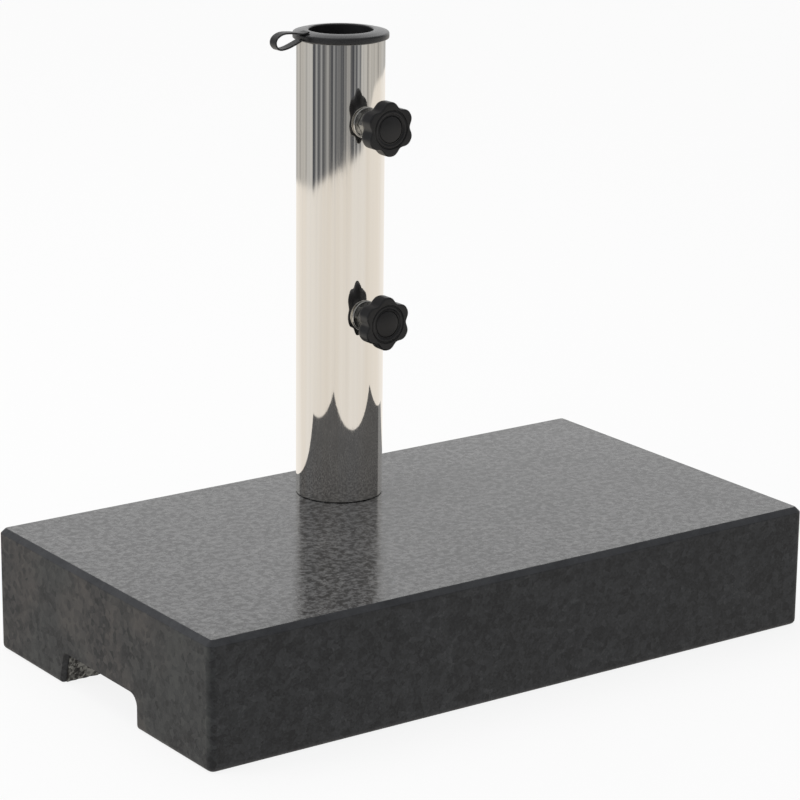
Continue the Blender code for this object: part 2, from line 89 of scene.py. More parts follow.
class MaterialMaker:
    def __init__(self, name):
        self.material = bpy.data.materials.new(name)
        self.material.use_nodes = True
        self.tree = self.material.node_tree
        self.shader = self.tree.nodes["Principled BSDF"]

    def node(self, kind, settings=None, inputs=None, output=0):
        made = self.tree.nodes.new(kind)
        for name, value in (settings or {}).items():
            setattr(made, name, value)
        for key, value in (inputs or {}).items():
            self.feed(made.inputs[key], value)
        return Value(self, made.outputs[output])

    def feed(self, socket, value):
        if isinstance(value, Value):
            self.tree.links.new(value.socket, socket)
        elif isinstance(value, tuple) and len(value) == 3 and socket.type == "RGBA":
            socket.default_value = (*value, 1.0)
        else:
            socket.default_value = value

    def place(self, stretch=(1.0, 1.0, 1.0), move=(0.0, 0.0, 0.0)):
        where = self.node("ShaderNodeTexCoord", output="Object")
        return self.node("ShaderNodeMapping", None, {"Vector": where, "Location": move, "Scale": stretch})

    def noise(self, scale, detail, rough, where=None):
        inputs = {"Vector": where or self.place(), "Scale": scale, "Detail": detail, "Roughness": rough}
        return self.node("ShaderNodeTexNoise", None, inputs)

    def cells(self, scale, where):  # one random colour to a cell
        return self.node("ShaderNodeTexVoronoi", None, {"Vector": where, "Scale": scale}, "Color")

    def part(self, vector, axis):
        return self.node("ShaderNodeSeparateXYZ", None, {0: vector}, axis)

    def facing(self, axis):  # how squarely the surface faces along X, Y or Z, signed
        return self.part(self.node("ShaderNodeTexCoord", output="Normal"), axis)

    def mix(self, share, first, second, blend="MIX"):
        settings = {"data_type": "RGBA", "blend_type": blend, "clamp_factor": True}
        return self.node("ShaderNodeMix", settings, {0: share, 6: first, 7: second}, 2)

    def bump(self, height, distance, strength=1.0, under=None):
        inputs = {"Height": height, "Distance": distance, "Strength": strength}
        if under:
            inputs["Normal"] = under
        return self.node("ShaderNodeBump", None, inputs)

    def finish(self, sockets):
        for name, value in sockets.items():
            self.feed(self.shader.inputs[name], value)
        return self.material


def arc(centreOut, centreUp, radius, start, end, steps):  # (out, up) points, angles in degrees
    points = []
    for step in range(steps + 1):
        angle = math.radians(start + (end - start) * step / steps)
        points.append((centreOut + radius * math.cos(angle), centreUp + radius * math.sin(angle)))
    return points


def turned(outline, segments, closed=True):  # outline: (radius, height) points, spun round Z
    shape = bmesh.new()
    corners = [shape.verts.new((radius, 0.0, height)) for radius, height in outline]
    sides = [shape.edges.new(pair) for pair in zip(corners, corners[1:])]
    if closed:
        sides.append(shape.edges.new((corners[-1], corners[0])))
    bmesh.ops.spin(
        shape, geom=corners + sides, cent=(0, 0, 0), axis=(0, 0, 1),
        angle=math.tau, steps=segments, use_merge=True,
    )
    bmesh.ops.remove_doubles(shape, verts=shape.verts[:], dist=1e-7)
    return shape


def makeObject(name, shape, place=None, sharp=32.0):
    if place:
        bmesh.ops.transform(shape, matrix=place, verts=shape.verts[:])
    bmesh.ops.recalc_face_normals(shape, faces=shape.faces[:])
    mesh = bpy.data.meshes.new(name)
    shape.to_mesh(mesh)
    shape.free()
    mesh.shade_smooth()
    mesh.set_sharp_from_angle(angle=math.radians(sharp))
    made = bpy.data.objects.new(name, mesh)
    bpy.context.scene.collection.objects.link(made)
    return made


def applyModifiers(piece):
    graph = bpy.context.evaluated_depsgraph_get()
    result = bpy.data.meshes.new_from_object(piece.evaluated_get(graph))
    piece.modifiers.clear()
    piece.data = result


def carve(piece, tool, operation="DIFFERENCE"):  # the tool is used up
    modifier = piece.modifiers.new(operation.title(), "BOOLEAN")
    modifier.operation = operation
    modifier.object = tool
    applyModifiers(piece)
    bpy.data.objects.remove(tool, do_unlink=True)


def drill(radius, low, high, segments, place):  # a round cutting tool
    outline = [(0.0, low), (radius, low), (radius, high), (0.0, high)]
    return makeObject("drill", turned(outline, segments, False), place)


def finishPiece(piece, material, body, node, sharp=32.0):
    piece.data.materials.clear()
    piece.data.materials.append(material)
    piece.data.shade_smooth()
    piece.data.set_sharp_from_angle(angle=math.radians(sharp))
    # keeps large faces flat in their shading, beside small roundings
    flatten = piece.modifiers.new("Weighted Normal", "WEIGHTED_NORMAL")
    flatten.mode = "FACE_AREA"
    flatten.keep_sharp = True
    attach(piece, body)
    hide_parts(node)
    print("made", piece.name)


def middle(node):
    low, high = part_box(node)
    return (low + high) / 2


graniteLooks = {
    "dark": (0.007, 0.007, 0.0075),
    "grey": (0.108, 0.108, 0.109),
    "pale": (0.20, 0.198, 0.193),
    "grain": 560.0,  # crystals to a metre
    "mottle": 225.0,  # soft blotches to a metre
    "topRoughness": 0.15,
    "sideRoughness": 0.55,
    "sideDark": (0.0105, 0.0115, 0.0135),
    "sideGrey": (0.032, 0.034, 0.037),
    "sidePale": (0.074, 0.077, 0.079),
    # the chamfer's tone, darker than the polished top: painted shade for the dark surroundings it reflects
    "arris": (0.058, 0.060, 0.065),
    "rustStain": (0.071, 0.065, 0.060),
    "greenStain": (0.052, 0.055, 0.053),
    "brokenPale": (0.21, 0.205, 0.185),
    "brokenDark": (0.018, 0.017, 0.016),
}


def crystals(maker, scale):  # random tones in cells with wandering borders, 0 to 1
    where = maker.place()
    inputs = {"Vector": where, "Scale": scale * 0.8, "Detail": 1.0}
    drift = maker.node("ShaderNodeTexNoise", None, inputs, "Color")
    wander = 0.3 / scale
    inputs = {0: drift, 1: (wander, wander, wander), 2: where}
    nudged = maker.node("ShaderNodeVectorMath", {"operation": "MULTIPLY_ADD"}, inputs)
    return maker.part(maker.cells(scale, nudged), 0)


def makePolishedGranite():
    looks = graniteLooks
    maker = MaterialMaker("polishedGranite")
    fine = crystals(maker, looks["grain"] * 1.7)
    coarse = crystals(maker, looks["grain"] * 0.5)
    pepper = maker.noise(2100.0, 2.0, 0.7)
    cloud = maker.noise(30.0, 3.0, 0.6)
    mottle = maker.noise(looks["mottle"], 4.0, 0.70)
    speck = maker.noise(looks["mottle"] * 1.2, 3.0, 0.7, maker.place(move=(3.1, 1.7, 0.4)))
    tone = 0.70 * mottle.between(0.36, 0.64) + 0.20 * fine + 0.10 * coarse + 0.35 * (cloud - 0.5)
    ground = maker.mix(tone.between(0.10, 0.90), looks["dark"], looks["grey"])
    flecks = (speck.between(0.50, 0.72) * 0.8 + 0.2 * coarse + 0.4 * (cloud - 0.5)).between(0.20, 0.85)
    colour = maker.mix(flecks * 0.46, ground, looks["pale"])
    rough = looks["topRoughness"] + 0.10 * (pepper - 0.5) + 0.10 * (cloud - 0.5) + 0.30 * (mottle - 0.5)
    relief = maker.bump(pepper, 0.00002, 0.35)
    return maker.finish({"Base Color": colour, "Roughness": rough, "Normal": relief, "IOR": 1.54})


def makeSawnGranite():
    looks = graniteLooks
    maker = MaterialMaker("sawnGranite")
    isEnd = abs(maker.facing(0)).between(0.6, 0.95)
    fine = crystals(maker, looks["grain"] * 1.4)
    coarse = crystals(maker, looks["grain"] * 0.45)
    pepper = maker.noise(1900.0, 2.0, 0.7)
    cloud = maker.noise(42.0, 4.0, 0.65)
    patch = maker.noise(13.0, 2.0, 0.5)
    tone = 0.26 * fine + 0.30 * coarse + 0.20 * pepper + 0.5 * (cloud - 0.5) + 0.12
    colour = maker.mix(tone.between(0.15, 0.75), looks["sideDark"], looks["sideGrey"])
    flecks = (0.6 * fine + 0.4 * coarse).between(0.74, 0.95) * cloud.between(0.40, 0.62)
    colour = maker.mix(flecks * (0.30 + 0.35 * isEnd), colour, looks["sidePale"])
    stain = maker.mix(patch.between(0.42, 0.60), looks["greenStain"], looks["rustStain"])
    colour = maker.mix(isEnd * (0.45 + 2.2 * (cloud - 0.5) + 0.6 * (coarse - 0.5)), colour, stain)
    spots = crystals(maker, looks["grain"] * 0.3).between(0.86, 0.90)
    colour = maker.mix(spots * 0.35, colour, looks["sideDark"])
    # the chamfer round the top, found by which way it faces, gets painted shade in place of its dark
    # reflection
    arrisPaintedShade = maker.facing(2).between(0.3, 0.6)
    colour = maker.mix(arrisPaintedShade * (0.45 + 0.9 * (cloud - 0.4)), colour, looks["arris"])
    rough = looks["sideRoughness"] + 0.14 * (pepper - 0.5) + 0.10 * (cloud - 0.5)
    relief = maker.bump(0.5 * pepper + 0.5 * fine, 0.00008, 0.5)
    return maker.finish({
        "Base Color": colour, "Roughness": rough, "Normal": relief, "IOR": 1.5, "Specular IOR Level": 0.28,
    })


def makeBrokenGranite():
    looks = graniteLooks
    maker = MaterialMaker("brokenGranite")
    fine = crystals(maker, looks["grain"] * 1.1)
    coarse = crystals(maker, looks["grain"] * 0.5)
    pepper = maker.noise(1700.0, 3.0, 0.7)
    tone = 0.4 * fine + 0.3 * coarse + 0.3 * pepper
    colour = maker.mix(tone.between(0.30, 0.70), looks["brokenDark"], looks["brokenPale"])
    rough = 0.75 + 0.2 * (pepper - 0.5)
    relief = maker.bump(pepper * 0.6 + fine * 0.4, 0.0003, 0.7)
    return maker.finish({
        "Base Color": colour, "Roughness": rough, "Normal": relief, "Specular IOR Level": 0.25,
    })


blockSizes = {
    "arris": 0.0033,  # the flat chamfer round the top
    "upright": 0.0048,  # rounding of the upright corners
    "sole": 0.0034,  # rounding round the underside
    "softening": 0.0004,
    "gripWidth": 0.087,
    "gripHeight": 0.022,
    "gripDepth": 0.045,
    "gripCorner": 0.008,
    "gripHeel": 0.003,
    "gripFlare": 0.006,
    "sawnBand": 0.0046,  # how deep the grip is sawn clean before the rough stone
    "roughInset": 0.0007,
    "roughness": 0.0010,
    "roughGrain": 0.0011,
    "bandLap": 0.003,  # how far the rough part starts inside the sawn band
    "overshoot": 0.004,  # how far the tools start outside the stone
    "recess": 0.023,
    "boltHole": 0.007,
}


def edgesWhere(shape, test):
    return [edge for edge in shape.edges if test(edge)]


def bevelEdges(shape, edges, width, segments):
    bmesh.ops.bevel(
        shape, geom=edges, offset=width, offset_type="OFFSET", segments=segments,
        profile=0.5, affect="EDGES", material=-1, clamp_overlap=True,
    )


def gripTool(name, inset, depth, start):  # a slot with one slanted side, open downwards, along +X
    sizes = blockSizes
    side = sizes["gripWidth"] / 2 - inset
    top = sizes["gripHeight"] - inset
    below = 0.006
    lean = sizes["gripFlare"] * (top + below) / sizes["gripHeight"]
    shape = bmesh.new()
    corners = [(-side, -below), (side + lean, -below), (side, top), (-side, top)]
    face = shape.faces.new([shape.verts.new((start, y, z)) for y, z in corners])
    raised = bmesh.ops.extrude_face_region(shape, geom=[face])["geom"]
    ends = [item for item in raised if isinstance(item, bmesh.types.BMVert)]
    bmesh.ops.translate(shape, verts=ends, vec=(depth - start, 0.0, 0.0))

    def roofEdge(edge, sign):
        return all(abs(v.co.z - top) < 1e-6 and v.co.y * sign > 0 for v in edge.verts)

    bevelEdges(shape, edgesWhere(shape, lambda e: roofEdge(e, -1)), sizes["gripCorner"], 8)
    bevelEdges(shape, edgesWhere(shape, lambda e: roofEdge(e, 1)), sizes["gripHeel"], 5)
    return makeObject(name, shape)


def roughen(tool, voxel, height):  # gives a cutting tool a broken, chiselled skin
    remesh = tool.modifiers.new("Remesh", "REMESH")
    remesh.mode = "VOXEL"
    remesh.voxel_size = voxel
    applyModifiers(tool)
    shape = bmesh.new()
    shape.from_mesh(tool.data)
    for vertex in shape.verts:
        here = vertex.co
        lumps = noise.noise(here * 190.0) + 0.6 * noise.noise(here * 480.0)
        facets = noise.voronoi(here * 230.0)[0][0] - 0.35
        vertex.co = here + vertex.normal * height * (0.6 * lumps + 0.9 * facets)
    shape.to_mesh(tool.data)
    shape.free()


def paintBlock(block, low, high):  # polished on top, sawn at the sides, broken inside the grips
    sizes = blockSizes
    halfWidth = sizes["gripWidth"] / 2 + 2 * sizes["gripFlare"]
    ceiling = sizes["gripHeight"] + 2 * sizes["roughness"]
    mouth = high.x - sizes["sawnBand"]
    skin = 0.0002
    for face in block.data.polygons:
        x, y, z = face.center
        if face.normal.z > 0.9 and z > high.z - sizes["softening"]:
            face.material_index = 0
        elif mouth / 2 < abs(x) < mouth + skin and abs(y) < halfWidth and low.z + skin < z < ceiling:
            face.material_index = 2
        else:
            face.material_index = 1


def makeBlock(polished, sawn, broken):
    sizes = blockSizes
    low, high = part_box("granite_block")
    size = high - low
    shape = bmesh.new()
    frameOf = Matrix.Translation((low + high) / 2) @ Matrix.Diagonal((*size, 1.0))
    bmesh.ops.create_cube(shape, size=1.0, matrix=frameOf)
    upright = edgesWhere(shape, lambda e: abs(e.verts[0].co.z - e.verts[1].co.z) > size.z / 2)
    bevelEdges(shape, upright, sizes["upright"], 5)
    top = edgesWhere(shape, lambda e: all(v.co.z > high.z - 1e-6 for v in e.verts))
    bevelEdges(shape, top, sizes["arris"], 1)
    sole = edgesWhere(shape, lambda e: all(v.co.z < low.z + 1e-6 for v in e.verts))
    bevelEdges(shape, sole, sizes["sole"], 4)

    def crisp(edge):  # the two edges of the arris, all the way round
        onTop = min(vertex.co.z for vertex in edge.verts) > high.z - 1.5 * sizes["arris"]
        return edge.is_manifold and onTop and math.radians(30) < edge.calc_face_angle() < math.radians(60)

    bevelEdges(shape, edgesWhere(shape, crisp), sizes["softening"], 2)
    block = makeObject("graniteBlock", shape)
    for turn in (0.0, math.pi):
        band = gripTool("sawnSlot", 0.0, sizes["sawnBand"], -sizes["overshoot"])
        start = sizes["sawnBand"] - sizes["bandLap"]
        core = gripTool("roughSlot", sizes["roughInset"], sizes["gripDepth"], start)
        roughen(core, sizes["roughGrain"], sizes["roughness"])
        for tool in (band, core):
            tool.data.transform(Matrix.Rotation(turn, 4, "Z") @ Matrix.Translation((low.x, 0.0, low.z)))
            carve(block, tool)
    bolt = middle("tube_bolt")
    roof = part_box("wide_washer")[1].z + gap
    start, end = low.z - sizes["overshoot"], high.z + sizes["overshoot"]
    for radius, top, segments in ((sizes["recess"], roof, 96), (sizes["boltHole"], end, 48)):
        carve(block, drill(radius, start, top, segments, Matrix.Translation((bolt.x, bolt.y, 0.0))))
    finishPiece(block, polished, "base", "granite_block", 38.0)
    block.data.materials.append(sawn)
    block.data.materials.append(broken)
    paintBlock(block, low, high)


tubeLooks = {
    "steel": (0.80, 0.785, 0.755),
    "warm": (0.77, 0.74, 0.69),
    "streak": (0.56, 0.565, 0.60),
    "roughness": 0.035,
}


def makePolishedSteel():
    looks = tubeLooks
    maker = MaterialMaker("polishedSteel")
    drawn = maker.noise(1.0, 4.0, 0.65, maker.place((900.0, 900.0, 3.0)))
    broad = maker.noise(1.0, 2.0, 0.5, maker.place((120.0, 120.0, 2.0)))
    waves = maker.noise(1.0, 1.0, 0.4, maker.place((26.0, 26.0, 7.0)))
    smears = maker.noise(1.0, 3.0, 0.6, maker.place((60.0, 60.0, 22.0)))
    lines = maker.noise(1.0, 2.0, 0.6, maker.place((260.0, 260.0, 1.2)))
    colour = maker.mix(broad.between(0.35, 0.65), looks["steel"], looks["warm"])
    colour = maker.mix(lines.between(0.55, 0.75) * 0.16, colour, looks["streak"])
    rough = looks["roughness"] + 0.05 * drawn.between(0.45, 0.8) + 0.03 * smears.between(0.5, 0.75)
    soft = maker.bump(waves, 0.0003, 0.25)
    relief = maker.bump(drawn * 0.6 + broad, 0.00002, 0.35, soft)
    return maker.finish({"Base Color": colour, "Roughness": rough, "Metallic": 1.0, "Normal": relief})


tubeSizes = {
    "segments": 256,
    "wall": 0.0015,
    "lip": 0.0004,
    "studHole": 0.0046,
}


def makeTube(material):
    sizes = tubeSizes
    low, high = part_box("upright_tube")
    outer = (high.x - low.x) / 2
    inner = outer - sizes["wall"]
    lip = sizes["lip"]
    outline = arc(inner + lip, low.z + lip, lip, 180, 270, 3)
    outline += arc(outer - lip, low.z + lip, lip, 270, 360, 3)
    outline += arc(outer - lip, high.z - lip, lip, 0, 90, 3)
    outline += arc(inner + lip, high.z - lip, lip, 90, 180, 3)
    axis = middle("upright_tube")
    place = Matrix.Translation((axis.x, axis.y, 0.0))
    tube = makeObject("uprightTube", turned(outline, sizes["segments"]), place)
    for name in ("lower", "upper"):
        centre = middle(name + "_clamp_washer")
        stand = Matrix.Translation((centre.x, axis.y, centre.z)) @ Matrix.Rotation(math.pi / 2, 4, "X")
        carve(tube, drill(sizes["studHole"], inner / 2, outer * 1.5, 48, stand))
    finishPiece(tube, material, "base", "upright_tube")


# for the nuts, washers, screws, bolt and disc
zincLooks = {
    "bright": (0.66, 0.655, 0.63),
    "dull": (0.4752, 0.4716, 0.4536),
    "roughness": 0.20,
}


def makeZinc():
    looks = zincLooks
    maker = MaterialMaker("zincPlate")
    blotch = maker.noise(420.0, 3.0, 0.6)
    fine = maker.noise(3200.0, 2.0, 0.6)
    colour = maker.mix(blotch.between(0.35, 0.7), looks["bright"], looks["dull"])
    rough = looks["roughness"] + 0.16 * (blotch - 0.4) + 0.08 * (fine - 0.5)
    relief = maker.bump(fine * 0.5 + blotch, 0.00003, 0.5)
    return maker.finish({"Base Color": colour, "Roughness": rough, "Metallic": 1.0, "Normal": relief})


plasticLooks = {  # colour, its paler tone for drift, dust and painted sheen, roughness, moulded grains to a metre, specular level
    "collarPlastic": ((0.016, 0.016, 0.017), (0.030, 0.030, 0.031), 0.27, 2600.0, 0.50),
    "strapPlastic": ((0.022, 0.022, 0.023), (0.040, 0.040, 0.040), 0.40, 2200.0, 0.30),
    "knobPlastic": ((0.013, 0.013, 0.014), (0.024, 0.024, 0.025), 0.36, 2400.0, 0.30),
    "nylon": ((0.74, 0.73, 0.69), (0.66, 0.65, 0.60), 0.45, 1800.0, 0.30),
}


def makePlastic(name):
    tint, pale, roughness, grain, shine = plasticLooks[name]
    maker = MaterialMaker(name)
    texture = maker.noise(grain, 2.0, 0.6)
    drift = maker.noise(70.0, 3.0, 0.5)
    # paler flecks on upward faces: partly dust, partly painted sheen on the collar's crown and the knobs'
    # tops
    dustAndSheen = maker.noise(900.0, 2.0, 0.7).between(0.66, 0.80)
    upward = maker.facing(2).between(0.2, 1.0)
    colour = maker.mix(drift.between(0.3, 0.75) * 0.6 + dustAndSheen * 0.15 * upward, tint, pale)
    rough = roughness + 0.12 * (drift - 0.5) + 0.10 * (texture - 0.5)
    relief = maker.bump(texture, 0.00005, 0.35)
    return maker.finish({
        "Base Color": colour, "Roughness": rough, "Normal": relief, "IOR": 1.5, "Specular IOR Level": shine,
    })


collarSizes = {
    "bore": 0.02035,
    "wall": 0.0022,
    "skirt": 0.028,
    "rimRound": 0.0012,
    "underRound": 0.0006,
    "boreRound": 0.0009,
    "tipRound": 0.0006,
    "rimHeight": 0.0041,
    "segments": 160,
}


def makeCollar(material):
    sizes = collarSizes
    low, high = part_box("reducer_collar")
    axis = (low + high) / 2
    rim = (high.x - low.x) / 2
    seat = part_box("upright_tube")[1].z + gap
    tubeInner = (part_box("upright_tube")[1].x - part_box("upright_tube")[0].x) / 2 - tubeSizes["wall"]
    skirtOut = tubeInner - gap
    bore, wall, tip = sizes["bore"], sizes["wall"], sizes["tipRound"]
    under, edge, lip = sizes["underRound"], sizes["rimRound"], sizes["boreRound"]
    sleeveEnd = low.z
    skirtEnd = seat - sizes["skirt"]
    rimTop = seat + sizes["rimHeight"]
    outline = arc(bore + tip, sleeveEnd + tip, tip, 180, 270, 3)
    outline += arc(bore + wall - tip, sleeveEnd + tip, tip, 270, 360, 3)
    outline += [(bore + wall, seat), (skirtOut - wall, seat)]
    outline += arc(skirtOut - wall + tip, skirtEnd + tip, tip, 180, 270, 3)
    outline += arc(skirtOut - tip, skirtEnd + tip, tip, 270, 360, 3)
    outline += [(skirtOut, seat)]
    outline += arc(rim - under, seat + under, under, 270, 360, 3)
    outline += arc(rim - edge, rimTop - edge, edge, 0, 78, 6)
    crownIn, crownOut = bore + lip, outline[-1][0]
    outHeight = outline[-1][1]
    for step in range(1, 8):  # the crowned face, rising towards the bore
        share = step / 8
        rise = (high.z - outHeight) * (math.sin(share * math.pi / 2))
        outline.append((crownOut + (crownIn - crownOut) * share, outHeight + rise))
    outline += arc(bore + lip, high.z - lip, lip, 90, 180, 5)
    shape = turned(outline, sizes["segments"])
    collar = makeObject("reducerCollar", shape, Matrix.Translation((axis.x, axis.y, 0.0)))
    finishPiece(collar, material, "collar", "reducer_collar")


strapSizes = {
    "width": 0.0070,
    "thickness": 0.0011,
    "edge": 0.0004,
    "lap": 0.0045,  # how far it lies on the collar
    "crown": 0.0015,  # rise of the collar's face from its rim to its bore
    "steps": 8,
}


def strapRoute(rim):  # (distance out, height above the collar's seat)
    sizes = strapSizes
    lying = collarSizes["rimHeight"] + gap + sizes["thickness"] / 2
    climb = sizes["crown"] * sizes["lap"] / (rim - collarSizes["bore"])
    start = gap + sizes["thickness"]
    return [Vector(point) for point in (
        (rim - sizes["lap"], lying + climb),
        (rim, lying),
        (rim + 0.0066, lying + 0.0010),
        (rim + 0.0140, lying + 0.0012),
        (rim + 0.0189, lying - 0.0012),
        (rim + 0.0200, lying - 0.0050),
        (rim + 0.0172, lying - 0.0083),
        (rim + 0.0120, lying - 0.0081),
        (rim + 0.0066, lying - 0.0064),
        (rim + start, lying - 0.0043),
    )]


def smoothLine(route, steps):  # Catmull and Rom's curve through every point
    ends = [2 * route[0] - route[1], *route, 2 * route[-1] - route[-2]]
    line = []
    for a, b, c, d in zip(ends, ends[1:], ends[2:], ends[3:]):
        for step in range(steps):
            t = step / steps
            curl = (2 * a - 5 * b + 4 * c - d) * t**2 + (3 * b - a - 3 * c + d) * t**3
            line.append((2 * b + (c - a) * t + curl) / 2)
    return [*line, route[-1]]


def makeStrap(material):
    sizes = strapSizes
    low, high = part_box("reducer_collar")
    axis = (low + high) / 2
    rim = (high.x - low.x) / 2
    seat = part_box("upright_tube")[1].z + gap
    line = smoothLine(strapRoute(rim), sizes["steps"])
    frames = []
    for index, point in enumerate(line):
        along = (line[min(index + 1, len(line) - 1)] - line[max(index - 1, 0)]).normalized()
        forward = Vector((-along.x, 0.0, along.y))
        side = Vector((0.0, 1.0, 0.0))
        normal = forward.cross(side)
        spot = Vector((axis.x - point.x, axis.y, seat + point.y))
        frames.append(Matrix((
            (side.x, normal.x, forward.x, spot.x),
            (side.y, normal.y, forward.y, spot.y),
            (side.z, normal.z, forward.z, spot.z),
            (0.0, 0.0, 0.0, 1.0),
        )))
    shape = bmesh.new()
    flat = Matrix.Diagonal((sizes["width"], sizes["thickness"], 1.0, 1.0))
    corners = bmesh.ops.create_grid(shape, x_segments=1, y_segments=1, size=0.5, matrix=flat)["verts"]
    bmesh.ops.bevel(
        shape, geom=corners, offset=sizes["edge"], offset_type="OFFSET", segments=3,
        profile=0.5, affect="VERTICES", material=-1,
    )
    ring = [edge for edge in shape.edges if edge.is_boundary]
    bmesh.ops.transform(shape, matrix=frames[0], verts=shape.verts[:])
    for before, after in zip(frames, frames[1:]):
        made = bmesh.ops.extrude_edge_only(shape, edges=ring)["geom"]
        moved = [item for item in made if isinstance(item, bmesh.types.BMVert)]
        ring = [item for item in made if isinstance(item, bmesh.types.BMEdge)]
        bmesh.ops.transform(shape, matrix=after @ before.inverted(), verts=moved)
    bmesh.ops.holes_fill(shape, edges=[edge for edge in shape.edges if edge.is_boundary], sides=0)
    strap = makeObject("collarStrap", shape)
    finishPiece(strap, material, "collar", "collar_strap", 40.0)


clampSizes = {
    "lobes": 6,
    "lobeAngle": {"lower": 29.0, "upper": 31.0},
    "scallop": 0.0029,
    "hub": 0.00775,
    "bore": 0.0043,
    "pocket": 0.0080,
    "frontEdge": 0.0011,
    "segments": 192,
    "pitch": 0.00125,
    "threadDepth": 0.00068,
    "threadSteps": 32,
    "threadRadius": 0.004,
    "full": 0.01715,  # the knob's radius at its lobes
    "hubEdge": 0.0005,
    "hubRise": 0.0004,
    "capSeat": 0.0026,  # below the knob's front
    "capSeatRadius": 0.00856,
    "headHeight": 0.0053,
    "capEdge": 0.0003,
    "capDome": 0.0007,
    "nutChamfer": 0.0012,
    "nutLead": 0.0006,
    "overshoot": 0.001,
}
knobFlare = (  # height above the hub's end, share of the way from the hub's radius to the full star's
    (0.0, 0.0), (0.0011, 0.03), (0.0022, 0.09), (0.0028, 0.20), (0.0034, 0.36), (0.0040, 0.54),
    (0.0046, 0.69), (0.0054, 0.81), (0.0066, 0.92), (0.0080, 0.98), (0.0095, 1.0),
)
knobFace = (  # radius, depth below the front: the land, two grooves, a ridge and the cap's seat
    (0.0126, 0.0), (0.01245, 0.00006), (0.0123, 0.0004), (0.0120, 0.00075), (0.0117, 0.00075),
    (0.0114, 0.0004), (0.0111, 0.00025), (0.0103, 0.00025), (0.0100, 0.0004), (0.0097, 0.0008),
    (0.0093, 0.0009), (0.0089, 0.0007), (0.00865, 0.0007),
)


def loopTo(shape, ring, radiusAt, height):  # extrudes a ring of edges to a new outline and height
    made = bmesh.ops.extrude_edge_only(shape, edges=ring)["geom"]
    for item in made:
        if isinstance(item, bmesh.types.BMVert):
            angle = math.atan2(item.co.y, item.co.x)
            out = radiusAt(angle)
            item.co = (out * math.cos(angle), out * math.sin(angle), height)
    return [item for item in made if isinstance(item, bmesh.types.BMEdge)]


def starOutline(radius, hub, full, turn):
    sizes = clampSizes
    share = (radius - hub) / (full - hub)

    def radiusAt(angle):
        hollow = (1 - math.cos(sizes["lobes"] * (angle - turn))) / 2
        return radius - sizes["scallop"] * share * hollow**1.5
    return radiusAt


def makeKnob(name, material, place, height, headSeat):
    sizes = clampSizes
    hub, full, seat = sizes["hub"], sizes["full"], height - sizes["capSeat"]
    turn = math.radians(sizes["lobeAngle"][name])
    shape = bmesh.new()
    bmesh.ops.create_circle(shape, segments=sizes["segments"], radius=sizes["bore"])
    ring = loopTo(shape, shape.edges[:], lambda angle: hub - sizes["hubEdge"], 0.0)
    for rise, share in knobFlare:
        radius = hub + (full - hub) * share
        ring = loopTo(shape, ring, starOutline(radius, hub, full, turn), max(rise, sizes["hubRise"]))
    edge = sizes["frontEdge"]
    for degrees in (0, 22, 45, 67, 90):
        lean = math.radians(degrees)
        outline = starOutline(full - edge * (1 - math.cos(lean)), hub, full, turn)
        ring = loopTo(shape, ring, outline, height - edge * (1 - math.sin(lean)))
    for radius, depth in knobFace:
        ring = loopTo(shape, ring, lambda angle, out=radius: out, height - depth)
    floor = headSeat - gap
    inside = (("capSeatRadius", seat), ("pocket", seat), ("pocket", floor), ("bore", floor), ("bore", 0.0))
    for part, up in inside:
        ring = loopTo(shape, ring, lambda angle, out=sizes[part]: out, up)
    bmesh.ops.remove_doubles(shape, verts=shape.verts[:], dist=1e-7)
    knob = makeObject(name + "Knob", shape, place)
    finishPiece(knob, material, name + "_screw", name + "_knob", 40.0)


def makeKnobCap(name, material, place, low, high, radius):  # low and high above the hub's end
    edge, dome = clampSizes["capEdge"], clampSizes["capDome"]
    outline = [(0.0, low), (radius - edge, low)] + arc(radius - edge, low + edge, edge, 270, 360, 2)[1:]
    outline += arc(radius - edge, high - dome - edge, edge, 0, 60, 3)
    start = outline[-1]
    for step in range(1, 9):
        share = step / 8
        outline.append((start[0] * (1 - share), start[1] + (high - start[1]) * (1 - (1 - share) ** 2)))
    cap = makeObject(name + "KnobCap", turned(outline, 96, False), place)
    finishPiece(cap, material, name + "_screw", name + "_knob_cap", 40.0)


def hexPiece(name, flats, low, high, chamferLow, chamferHigh):  # a hexagon whose corners are turned off
    corner = flats / math.sqrt(3)
    shape = bmesh.new()
    stand = Matrix.Translation((0.0, 0.0, (low + high) / 2)) @ Matrix.Rotation(math.pi / 2, 4, "Z")
    bmesh.ops.create_cone(
        shape, cap_ends=True, segments=6, radius1=corner, radius2=corner, depth=high - low, matrix=stand,
    )
    piece = makeObject(name, shape)
    clear = 2 * clampSizes["overshoot"]
    far = corner + clear
    drop = (far - flats / 2) * math.tan(math.radians(30))
    bottom = [(0.0, low - clear), (far, low - clear)]
    top = [(far, high + clear), (0.0, high + clear)]
    if chamferLow:
        bottom = [(0.0, low), (flats / 2, low), (far, low + drop)]
    if chamferHigh:
        top = [(far, high - drop), (flats / 2, high), (0.0, high)]
    carve(piece, makeObject("lathe", turned(bottom + top, 96, False)), "INTERSECT")
    return piece


def makeNut(name, material, place, thickness, flats):
    nut = hexPiece(name + "ClampNut", flats, 0.0, thickness, True, True)
    bore, lead, past = clampSizes["bore"], clampSizes["nutLead"], clampSizes["overshoot"]
    wide = bore + clampSizes["nutChamfer"]
    outline = [(0.0, -past), (wide, -past), (bore, lead), (bore, thickness - lead)]
    outline += [(wide, thickness + lead), (0.0, thickness + past)]
    carve(nut, makeObject("tap", turned(outline, 64, False)))
    nut.data.transform(place)
    finishPiece(nut, material, "base", name + "_clamp_nut", 25.0)


